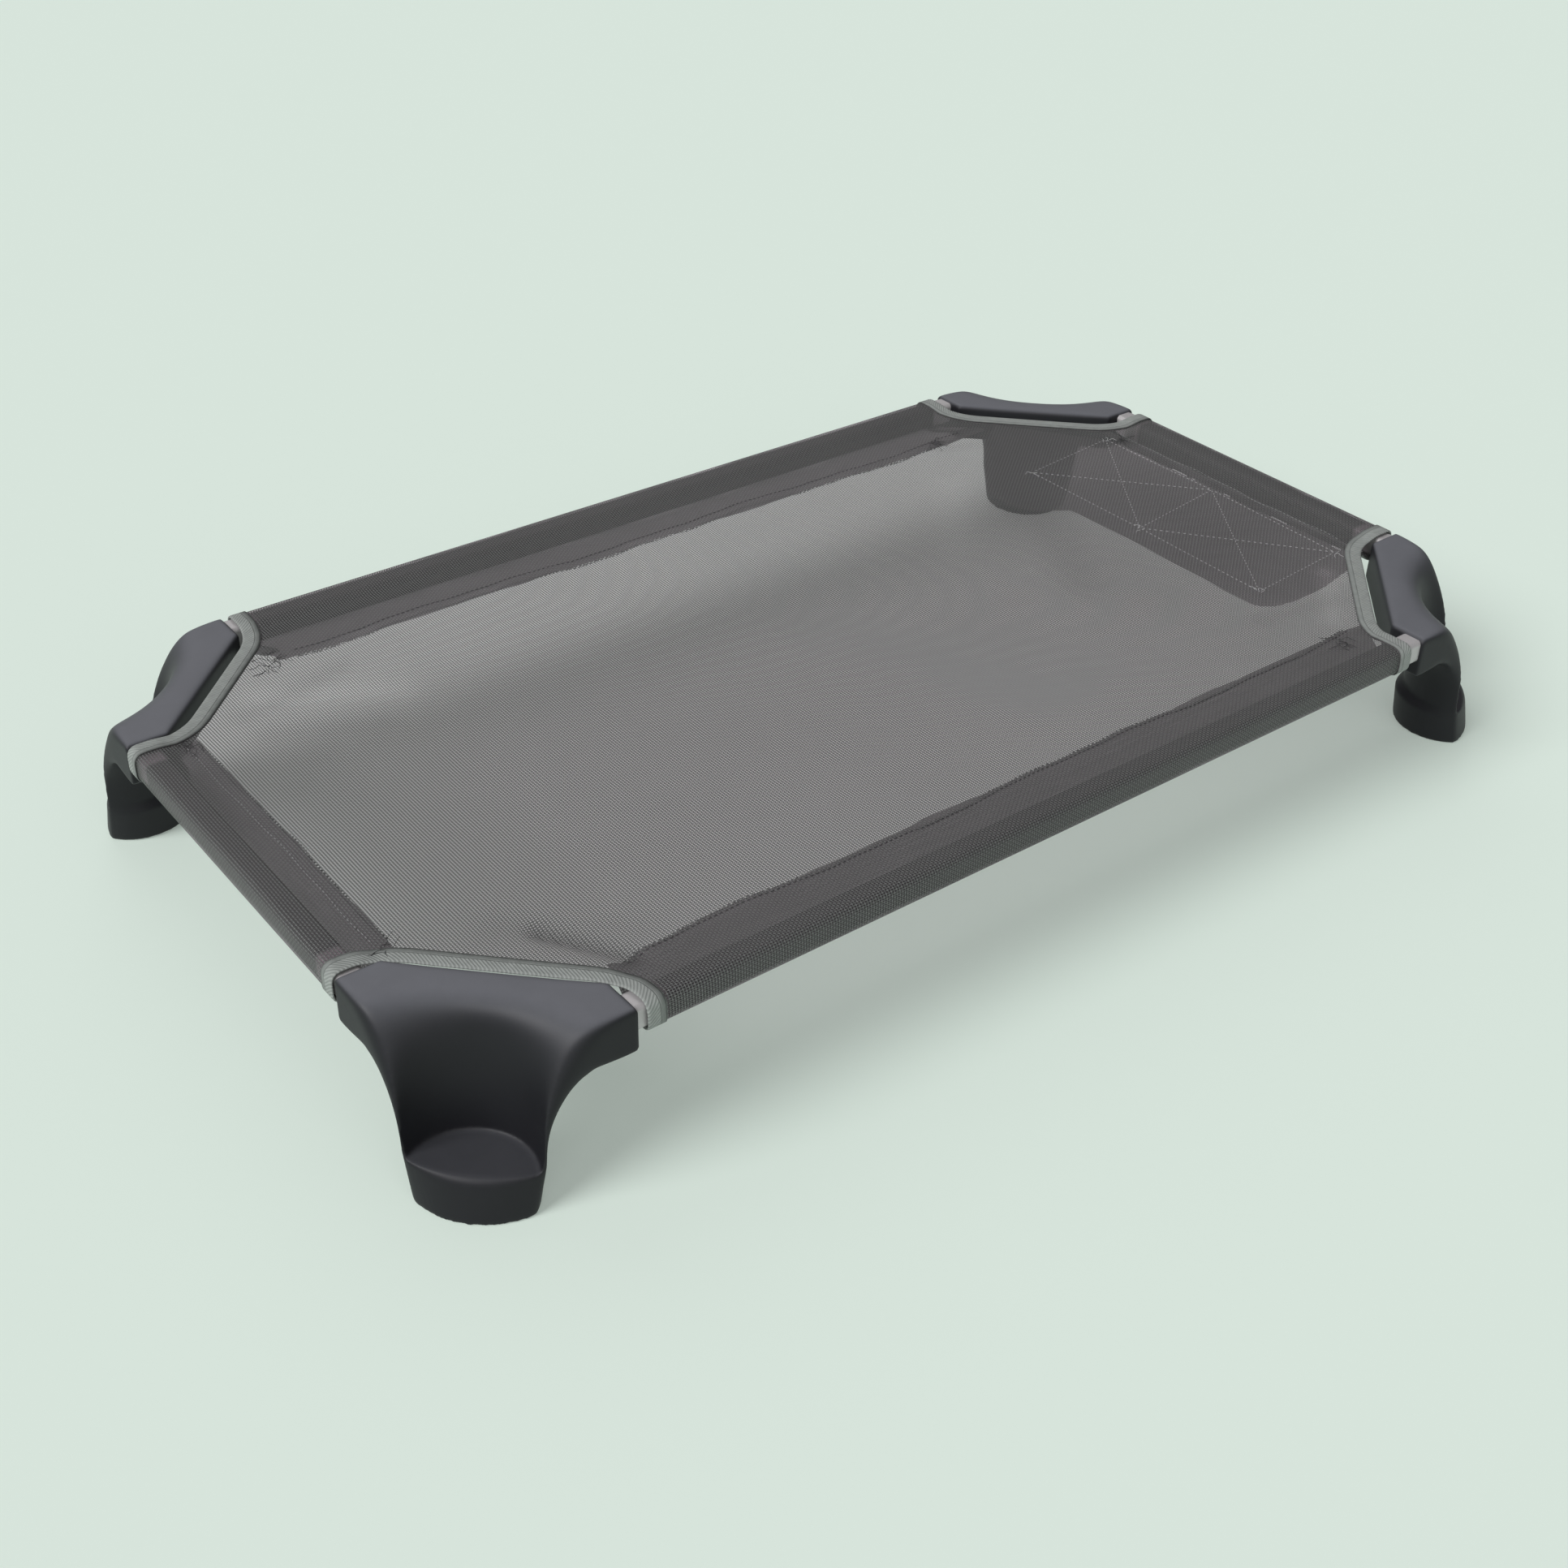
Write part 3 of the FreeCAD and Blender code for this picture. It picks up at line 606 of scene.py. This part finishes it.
DRIFT = 0.022
DRIFT_WAVES = ((0.012, 0.37, 0.2), (0.006, 0.11, 0.6))


def twist(over, along):
    """How far the cloth drifts along a rail by the time it is back under the deck."""
    return over * (DRIFT + wave(along, *DRIFT_WAVES))


def lay(across, along, lower=0.0):
    """A point of the flat cloth, laid on the bed."""
    x, rise_x = wrap(across, HALF_LENGTH, "left", "right")
    y, rise_y = wrap(along, HALF_WIDTH, "front", "back")
    x += twist(max(abs(along) - HALF_WIDTH, 0), across)
    y += twist(max(abs(across) - HALF_LENGTH, 0), along)
    return Vector((x, y, DECK_Z + rise_x + rise_y - sag(x, y) - lower))


def lay_normal(across, along):
    """The cloth's outer side at a flat point."""
    step = 0.3 * MM
    here = lay(across, along)
    return (lay(across + step, along) - here).cross(lay(across, along + step) - here).normalized()


def hem_reach(side, half):
    """The flat distance from the middle to a hem's raw edge."""
    return half - DECK_START + TRACKS[side].length - HEM_SPARE


REACH = {side: hem_reach(side, HALF_WIDTH if side in ("front", "back") else HALF_LENGTH)
         for side in HEMS}

# How each raw edge wanders, and the room that this needs in the cloth it is cut from.
WANDER_ROOM = 10 * MM
HEM_WANDER = {
    "front": ((2.6 * MM, 0.33, 0.10), (1.3 * MM, 0.121, 0.4), (0.5 * MM, 0.043, 0.2)),
    "right": ((1.4 * MM, 0.13, 0.60), (0.9 * MM, 0.051, 0.1)),
    "back": ((2.4 * MM, 0.29, 0.45), (1.4 * MM, 0.113, 0.0), (0.6 * MM, 0.039, 0.7)),
    "left": ((1.0 * MM, 0.21, 0.30), (0.6 * MM, 0.061, 0.5)),
}

# How much a sleeve's under side runs askew, and the spacing of the flat cloth's scored lines.
UNDER_SKEW = 0.05
GRID = 6 * MM


def weave_place(flat):
    """A flat point's place in the weave; a sleeve's under side lies a little askew."""
    over_x = math.copysign(max(abs(flat.x) - HALF_LENGTH - TUBE_SIDE, 0), flat.x)
    over_y = math.copysign(max(abs(flat.y) - HALF_WIDTH - TUBE_SIDE, 0), flat.y)
    return flat.x + UNDER_SKEW * over_y, flat.y + UNDER_SKEW * over_x


def cut_cloth(outline, lines_x, lines_y, lower=0.0):
    """A flat piece of cloth cut to its outline, scored into a grid, then laid on the bed."""
    bm = bmesh.new()
    bmesh.ops.contextual_create(bm, geom=[bm.verts.new((x, y, 0)) for x, y in outline])
    for normal, lines in (((1, 0, 0), lines_x), ((0, 1, 0), lines_y)):
        for line in lines:
            bmesh.ops.bisect_plane(bm, geom=bm.verts[:] + bm.edges[:] + bm.faces[:], dist=1e-6,
                                   plane_co=Vector(normal) * line, plane_no=normal)
    bmesh.ops.recalc_face_normals(bm, faces=bm.faces)
    if sum(face.normal.z for face in bm.faces) < 0:
        bmesh.ops.reverse_faces(bm, faces=bm.faces)
    flat_area = sum(face.calc_area() for face in bm.faces)
    flat_uv = bm.loops.layers.uv.new("cut")
    for face in bm.faces:
        for loop in face.loops:
            loop[flat_uv].uv = weave_place(loop.vert.co)
    # Each place keeps the painted shade of the creases near it, for the cloth's colour and cover.
    folded = bm.verts.layers.float.new("fold")
    for vert in bm.verts:
        vert[folded] = sum(near * shade for near, _, shade in creases_at(vert.co.x, vert.co.y))
        vert.co = lay(vert.co.x, vert.co.y, lower)
    return bm, flat_area


def spread(low, high, step):
    """Evenly spaced lines between two places."""
    count = round((high - low) / step)
    return [low + (high - low) * i / count for i in range(1, count)]


def fold_lines(side, half):
    """Lines across one sleeve, close together where it bends."""
    start = half - DECK_START
    track = TRACKS[side]
    marks = [start + mark for mark in track.marks[:-1]]
    runs = []
    for low, high in pairs(marks):
        if high - low > GRID:
            runs += spread(low, high, GRID)
    return sorted(marks + runs)


def corner_cuts():
    """The flat outline's four corner cuts, each in the order that goes round anticlockwise."""
    ends = {}
    for corner, sign_x, sign_y, end_x, end_y, slant in CORNERS:
        side_x = "left" if sign_x < 0 else "right"
        side_y = "front" if sign_y < 0 else "back"
        run = [
            Vector((sign_x * REACH[side_x], sign_y * (HALF_WIDTH - end_y))),
            Vector((sign_x * (HALF_LENGTH - slant + end_y), sign_y * (HALF_WIDTH - end_y))),
            Vector((sign_x * (HALF_LENGTH - end_x), sign_y * (HALF_WIDTH - slant + end_x))),
            Vector((sign_x * (HALF_LENGTH - end_x), sign_y * REACH[side_y])),
        ]
        ends[corner] = run if sign_x * sign_y > 0 else run[::-1]
    return ends


CUTS = corner_cuts()


def wavy_edge(start, end, side):
    """A raw hem edge between two corners of the outline."""
    points = []
    for i in range(1, EDGE_PARTS):
        spot = start.lerp(end, i / EDGE_PARTS)
        if side in ("front", "back"):
            points.append((spot.x, spot.y + math.copysign(wave(spot.x, *HEM_WANDER[side]), spot.y)))
        else:
            points.append((spot.x + math.copysign(wave(spot.y, *HEM_WANDER[side]), spot.x), spot.y))
    return points


def make_mesh_sheet():
    """The deck with its four sleeves: one cloth, round the rails and back to its hems."""
    cuts = list(CUTS.values())
    outline = []
    for run, following, side in zip(cuts, cuts[1:] + cuts[:1], HEMS):
        outline += [tuple(point) for point in run]
        outline += wavy_edge(run[-1], following[0], side)
    lines_x = [-line for line in fold_lines("left", HALF_LENGTH)]
    lines_x += spread(-HALF_LENGTH + DECK_START, HALF_LENGTH - DECK_START, GRID)
    lines_x += fold_lines("right", HALF_LENGTH)
    lines_y = [-line for line in fold_lines("front", HALF_WIDTH)]
    lines_y += spread(-HALF_WIDTH + DECK_START, HALF_WIDTH - DECK_START, GRID)
    lines_y += fold_lines("back", HALF_WIDTH)
    bm, area = cut_cloth(outline, lines_x, lines_y)
    sheet = finish_piece("mesh_sheet", bm, MESH_CLOTH,
                         ("mesh_deck", "sleeve_front", "sleeve_right", "sleeve_back", "sleeve_left"))
    flat = (REACH["front"] + REACH["back"] + WANDER_ROOM, REACH["left"] + REACH["right"] + WANDER_ROOM)


# The second panel's free edge, from the right hem's back end round to its front end.
PANEL_EDGE = [
    (0.4580, 0.1390), (0.3815, 0.2155), (0.352, 0.196), (0.341, 0.186), (0.309, 0.149), (0.284, 0.121),
    (0.279, 0.111), (0.2785, 0.085), (0.2845, 0.071), (0.299, 0.059), (0.3155, 0.046), (0.3175, 0.026),
    (0.3185, -0.031), (0.3175, -0.107), (0.3160, -0.136), (0.3160, -0.164), (0.3195, -0.172),
    (0.3290, -0.179), (0.352, -0.183), (0.385, -0.181), (0.4280, -0.1735), (0.4580, -0.1440),
]

# Where the panel is scored.
PANEL_X = (0.276, 0.459)
PANEL_Y = (-0.186, 0.216)

# Places along the panel's right edge where it pulls clear of the hem, how far and how wide.
PANEL_GAPS = (0.118, 0.034, 0.022, -0.040, -0.082)
PANEL_PULL = 10 * MM
PANEL_PULL_WIDE = 4 * MM
PANEL_PARTS = 60


def make_second_panel():
    """The second layer sewn under the deck at the right end."""
    outline = list(PANEL_EDGE)
    edge_x, start_y, end_y = *PANEL_EDGE[-1], PANEL_EDGE[0][1]
    for i in range(1, PANEL_PARTS):
        y = start_y + (end_y - start_y) * i / PANEL_PARTS
        pull = PANEL_PULL * sum(bell(y - gap, PANEL_PULL_WIDE) for gap in PANEL_GAPS)
        outline.append((edge_x - pull + wave(y, (0.8 * MM, 0.037, 0.3)), y))
    lines_x = spread(*PANEL_X, GRID)
    lines_y = spread(*PANEL_Y, GRID)
    bm, area = cut_cloth(outline, lines_x, lines_y, PANEL_GAP)
    panel = finish_piece("second_panel", bm, MESH_CLOTH, ("reinforcing_panel",))


# ---------------------------------------------------------------- binding tapes

# How far the folded tape stands off the cloth on both sides, its thickness, the parts and rounded
# bends along it, and how far its ends stay short of the hem's raw edge.
TAPE_OUT = 0.95 * MM
TAPE_IN = 0.45 * MM
TAPE_THICK = 0.55 * MM
TAPE_PARTS = 150
TAPE_BEND = 22 * MM
TAPE_SHORT = 26 * MM


def make_binding(corner):
    """Twill tape folded over the cloth's cut edge, round one corner and both its sleeve ends."""
    run = CUTS[corner]
    head = run[0] + (run[1] - run[0]).normalized() * TAPE_SHORT
    tail = run[3] + (run[2] - run[3]).normalized() * TAPE_SHORT
    track = Track(rounded_line([head, run[1], run[2], tail], [TAPE_BEND, TAPE_BEND], 10))
    # The folded tape's section: how far in from the cut edge, and how far off the cloth.
    section = [(TAPE_WIDE, -TAPE_IN), (8 * MM, -TAPE_IN), (4 * MM, -TAPE_IN), (0.8 * MM, -TAPE_IN),
               (-0.5 * MM, -0.3 * TAPE_IN), (-0.9 * MM, 0.3 * TAPE_OUT), (-0.5 * MM, 0.8 * TAPE_OUT),
               (0.8 * MM, TAPE_OUT), (4 * MM, TAPE_OUT), (8 * MM, TAPE_OUT), (TAPE_WIDE, TAPE_OUT)]
    bm = bmesh.new()
    bmesh.ops.create_grid(bm, x_segments=TAPE_PARTS, y_segments=len(section) - 1, size=1)
    flat_uv = bm.loops.layers.uv.new("cut")
    shown = {}
    for vert in bm.verts:
        distance = (vert.co.x + 1) / 2 * track.length
        place, off = section[round((vert.co.y + 1) / 2 * (len(section) - 1))]
        heading = track.heading(min(max(distance, 1 * MM), track.length - 1 * MM))
        inward = Vector((-heading.y, heading.x))
        spot = track.at(distance)
        flat = spot + inward * place
        vert.co = lay(flat.x, flat.y) + lay_normal(flat.x, flat.y) * off
        shown[vert] = (distance, max(place, 0.0) + 0.2 * MM)
    for face in bm.faces:
        for loop in face.loops:
            loop[flat_uv].uv = shown[loop.vert]
    tape = finish_piece("tape_" + corner, bm, BINDING_TAPE, ("binding_" + corner,))
    solid = tape.modifiers.new("thickness", "SOLIDIFY")
    solid.thickness = TAPE_THICK
    solid.offset = 0


# ---------------------------------------------------------------- seams

# Where each hem's stitching starts and stops along its rail.
SEAM_ENDS = {"front": (-0.352, 0.342), "right": (-0.136, 0.130), "back": (-0.350, 0.340),
             "left": (-0.140, 0.142)}


def sew(bm, points, stitch=3.4 * MM, gap=1.1 * MM, radius=0.32 * MM, lift=0.55 * MM):
    """A row of small stitches along a line on the cloth's top."""
    track = Track(points)
    distance = gap
    while distance + stitch <= track.length:
        middle = distance + stitch / 2
        spot = track.at(middle)
        heading = track.heading(middle)
        here = lay(spot.x, spot.y) + lay_normal(spot.x, spot.y) * lift
        ahead = lay(spot.x + heading.x * MM, spot.y + heading.y * MM)
        ahead += lay_normal(spot.x, spot.y) * lift
        turn = (ahead - here).to_track_quat("X", "Z").to_matrix().to_4x4()
        size = Matrix.Diagonal((stitch / 2, radius, radius * 0.8, 1))
        bmesh.ops.create_icosphere(bm, subdivisions=1, radius=1,
                                   matrix=Matrix.Translation(here) @ turn @ size)
        distance += stitch + gap


def hem_line(side, inset, share, count, zigzag=0.0):
    """A line along one hem that follows a share of its wander, with a zigzag on it if asked."""
    half = HALF_WIDTH if side in ("front", "back") else HALF_LENGTH
    sign = -1 if side in ("front", "left") else 1
    low, high = SEAM_ENDS[side]
    points = []
    for i in range(count + 1):
        run = low + (high - low) * i / count
        place = sign * (half - inset - wave(run, *HEM_WANDER[side]) * share)
        place += zigzag * (1 if i % 2 else -1)
        points.append(Vector((run, place)) if side in ("front", "back") else Vector((place, run)))
    return points


def make_hem_seam(side):
    """The seam that closes a sleeve."""
    bm = bmesh.new()
    line = hem_line(side, HEMS[side] - HEM_FLAPS[side], share=0.8, count=60)
    sew(bm, line, radius=0.38 * MM)
    thread = HEM_THREAD if side in ("left", "right") else SEAM_THREAD
    finish_piece("seam_" + side, bm, thread, ("hem_seam_" + side,))


# The overlock: its step along the hem, half its width, its thread's radius, how far out of the raw
# edge its middle lies, and how far it lies under the deck.
OVERLOCK_STEP = 1.9 * MM
OVERLOCK_HALF = 2.2 * MM
OVERLOCK_RADIUS = 0.52 * MM
OVERLOCK_OUT = 0.2 * MM
OVERLOCK_LIFT = -1.6 * MM


def make_overlock():
    """The zigzag thread that holds the hems' raw edges, under the deck."""
    bm = bmesh.new()
    for side, hem in HEMS.items():
        low, high = SEAM_ENDS[side]
        steps = round((high - low) / OVERLOCK_STEP)
        line = hem_line(side, hem + OVERLOCK_OUT, share=1.0, count=steps, zigzag=OVERLOCK_HALF)
        for start, end in pairs(line):
            sew(bm, [start, end], stitch=(end - start).length * 0.96, gap=0.0,
                radius=OVERLOCK_RADIUS, lift=OVERLOCK_LIFT)
    finish_piece("hem_overlock", bm, SEAM_THREAD)


# Corners of the panel's two stitched boxes, which share the side from C to D.
BOX_A, BOX_B = (0.440, 0.127), (0.336, 0.117)
BOX_C, BOX_D = (0.337, -0.018), (0.442, -0.005)
BOX_E, BOX_G = (0.334, -0.157), (0.438, -0.149)


def make_panel_seam():
    """Two stitched boxes side by side, each with its diagonals."""
    bm = bmesh.new()
    back_box = [(BOX_A, BOX_B), (BOX_B, BOX_C), (BOX_C, BOX_D), (BOX_D, BOX_A), (BOX_A, BOX_C),
                (BOX_B, BOX_D)]
    front_box = [(BOX_C, BOX_E), (BOX_E, BOX_G), (BOX_G, BOX_D), (BOX_C, BOX_G), (BOX_E, BOX_D)]
    for start, end in back_box + front_box:
        sew(bm, [Vector(start), Vector(end)], stitch=2.8 * MM, gap=2.2 * MM, radius=0.35 * MM,
            lift=0.7 * MM)
    finish_piece("panel_stitching", bm, PALE_THREAD, ("panel_seam",))


# Places along the panel's right edge where its seam was caught again: middle and half length; the
# two lines that the thread goes to and fro between, and its step.
CATCHES = [(0.037, 9 * MM), (-0.020, 4 * MM), (-0.081, 9 * MM), (-0.145, 5 * MM)]
CATCH_X = (443.9 * MM, 446.9 * MM)
CATCH_STEP = 1.5 * MM


def make_catch_stitches():
    """Pale back and forth stitches that hold the panel's edge to the hem."""
    bm = bmesh.new()
    for middle, half in CATCHES:
        count = round(2 * half / CATCH_STEP)
        line = [Vector((CATCH_X[i % 2], middle - half + i * CATCH_STEP)) for i in range(count + 1)]
        for start, end in pairs(line):
            sew(bm, [start, end], stitch=(end - start).length * 0.9, gap=0.0, radius=0.33 * MM)
    finish_piece("catch_stitches", bm, PALE_THREAD)


def make_tuft(name, spots, strands, reach, material):
    """Loose thread ends where a seam starts or stops."""
    curve = bpy.data.curves.new(name, "CURVE")
    curve.dimensions = "3D"
    curve.bevel_depth = 0.22 * MM
    curve.bevel_resolution = 0
    curve.resolution_u = 3
    for x, y in spots:
        for _ in range(strands):
            strand = curve.splines.new("NURBS")
            strand.points.add(4)
            turn = random.uniform(0, 2 * math.pi)
            spot = Vector((x, y)) + Vector((random.uniform(-1, 1), random.uniform(-1, 1))) * 3 * MM
            for i, point in enumerate(strand.points):
                lift = 0.7 * MM + 1.6 * MM * math.sin(math.pi * i / 4) * random.random()
                point.co = (*(lay(spot.x, spot.y) + Vector((0, 0, lift))), 1)
                turn += random.uniform(-1.2, 1.2)
                spot += Vector((math.cos(turn), math.sin(turn))) * reach / 4
            strand.use_endpoint_u = True
            strand.order_u = 3
    shaped = bpy.data.objects.new(name + "_line", curve)
    bpy.context.scene.collection.objects.link(shaped)
    bm = bmesh.new()
    bm.from_mesh(shaped.to_mesh())
    shaped.to_mesh_clear()
    bpy.data.objects.remove(shaped)
    finish_piece(name, bm, material)


make_mesh_sheet()
make_second_panel()
for corner, *_ in CORNERS:
    make_binding(corner)

for side in HEMS:
    make_hem_seam(side)
make_overlock()
make_panel_seam()
make_catch_stitches()

# Where the hems' and the panel's threads end loose.
HEM_ENDS = [(-0.470, 0.135), (0.321, -0.250), (-0.379, 0.205), (0.302, 0.215), (-0.370, 0.210),
            (0.452, 0.120), (-0.466, -0.150)]
PANEL_ENDS = [BOX_A, BOX_B, BOX_E, BOX_G, BOX_C]
make_tuft("hem_thread_ends", HEM_ENDS, strands=7, reach=16 * MM, material=SEAM_THREAD)
make_tuft("panel_thread_ends", PANEL_ENDS, strands=3, reach=8 * MM, material=PALE_THREAD)


# ---------------------------------------------------------------- floor, light and camera

FLOOR_HALF = 30
FLOOR_DROP = 0.25 * MM


def make_floor():
    """A wide plain floor, a hair under the feet."""
    bm = bmesh.new()
    bmesh.ops.create_grid(bm, x_segments=1, y_segments=1, size=FLOOR_HALF,
                          matrix=Matrix.Translation((0, 0, -FLOOR_DROP)))
    mesh = bpy.data.meshes.new("floor")
    bm.to_mesh(mesh)
    bm.free()
    floor = bpy.data.objects.new("floor", mesh)
    mesh.materials.append(make_floor_paint())
    bpy.context.scene.collection.objects.link(floor)


LIGHT_TINT = (1.0, 0.99, 1.0, 1)
SKY_STRENGTH = 0.18

# Wide soft lamps: name, the way towards it, strength and angular width in degrees.
LAMPS = [
    ("overhead", (-1.10, 0.06, 1.0), 2.20, 33),
    ("behind", (0.25, 0.75, 0.70), 0.30, 46),
    ("front", (-0.35, -0.85, 0.55), 0.66, 60),
]


def make_light():
    """A faint even sky and three wide lamps."""
    world = bpy.data.worlds.new("studio")
    bpy.context.scene.world = world
    world.use_nodes = True
    sky = world.node_tree.nodes["Background"]
    sky.inputs["Color"].default_value = LIGHT_TINT
    sky.inputs["Strength"].default_value = SKY_STRENGTH
    for name, towards, strength, width in LAMPS:
        lamp = bpy.data.lights.new(name, "SUN")
        lamp.energy = strength
        lamp.color = LIGHT_TINT[:3]
        lamp.angle = math.radians(width)
        softbox = bpy.data.objects.new(name, lamp)
        bpy.context.scene.collection.objects.link(softbox)
        softbox.rotation_euler = Vector(towards).to_track_quat("Z", "Y").to_euler()


def make_camera():
    """The camera in front of the left end, above the deck."""
    camera = bpy.data.objects.new("camera", bpy.data.cameras.new("camera"))
    bpy.context.scene.collection.objects.link(camera)
    right = Vector((0.79265, -0.60940, 0.01885))
    up = Vector((0.33124, 0.45639, 0.82584))
    back = Vector((-0.51186, -0.64835, 0.56361))
    turn = Matrix((right, up, back)).transposed().to_4x4()
    camera.matrix_world = Matrix.Translation((-0.884, -1.074, 0.927)) @ turn
    camera.data.sensor_width = 36
    camera.data.lens = 46.58
    bpy.context.scene.camera = camera


make_floor()
make_light()
make_camera()
bpy.context.scene.view_settings.view_transform = "Standard"
